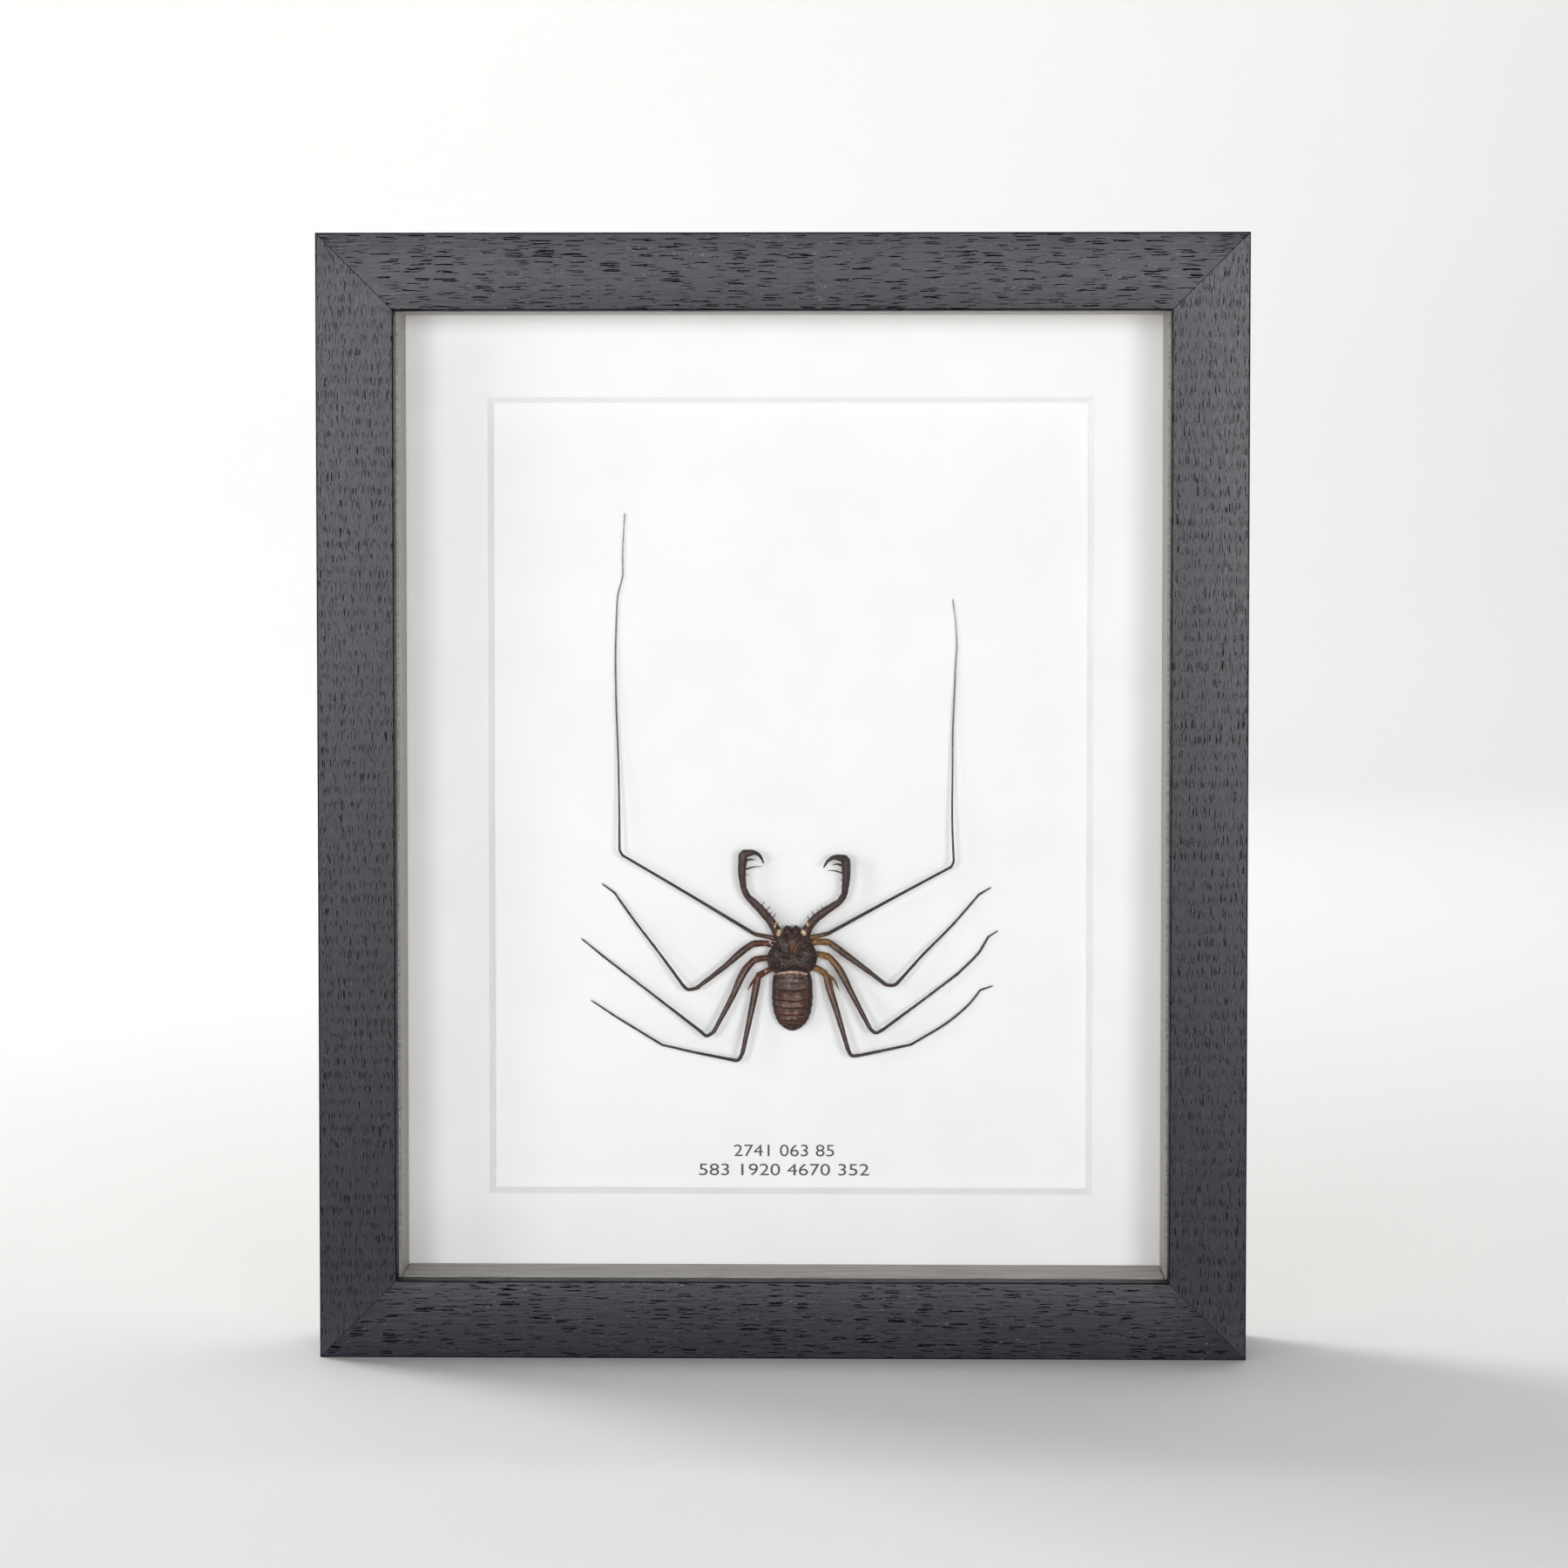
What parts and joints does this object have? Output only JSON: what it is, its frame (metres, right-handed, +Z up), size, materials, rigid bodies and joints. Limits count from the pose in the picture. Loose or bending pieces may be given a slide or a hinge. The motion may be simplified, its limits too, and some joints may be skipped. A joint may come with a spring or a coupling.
{
  "type": "framed whip spider specimen",
  "caption": "Upright glazed box frame of mitred charcoal wood with a white window mount, holding a long-legged whip spider fixed on a white card; stands on its lower rail.",
  "frame": {"origin": "middle of the lower rail's bottom face, at half the depth of the moulding", "axes": "+Z up along the frame's height, -Y out of the glazed front, +X to the right as seen from the front"},
  "size_m": [0.24, 0.0385, 0.291],
  "materials": {
    "charcoal_wood": "open-grained, satin charcoal stain",
    "clear_glass": "clear float glass",
    "grey_wood": "matt grey-brown foil with a wood grain",
    "mount_board": "matt white, bevel cut",
    "white_card": "matt white, smooth",
    "chitin": "dry brown cuticle, satin with glossy humps",
    "brown_board": "smooth fibreboard",
    "zinc_steel": "zinc plated, dull"
  },
  "bodies": {
    "root": {"frame_rail_bottom": "charcoal_wood", "frame_stile_right": "charcoal_wood", "frame_rail_top": "charcoal_wood", "frame_stile_left": "charcoal_wood", "glass_pane": "clear_glass", "spacer_bottom": "grey_wood", "spacer_right": "grey_wood", "spacer_top": "grey_wood", "spacer_left": "grey_wood", "window_mount": "mount_board", "backing_card": "white_card", "whip_spider": "chitin", "backing_board": "brown_board", "framing_point_bottom_1": "zinc_steel", "framing_point_bottom_2": "zinc_steel", "framing_point_right_1": "zinc_steel", "framing_point_right_2": "zinc_steel", "framing_point_top_1": "zinc_steel", "framing_point_top_2": "zinc_steel", "framing_point_left_1": "zinc_steel", "framing_point_left_2": "zinc_steel", "sawtooth_hanger": "zinc_steel"}
  },
  "joints": []
}
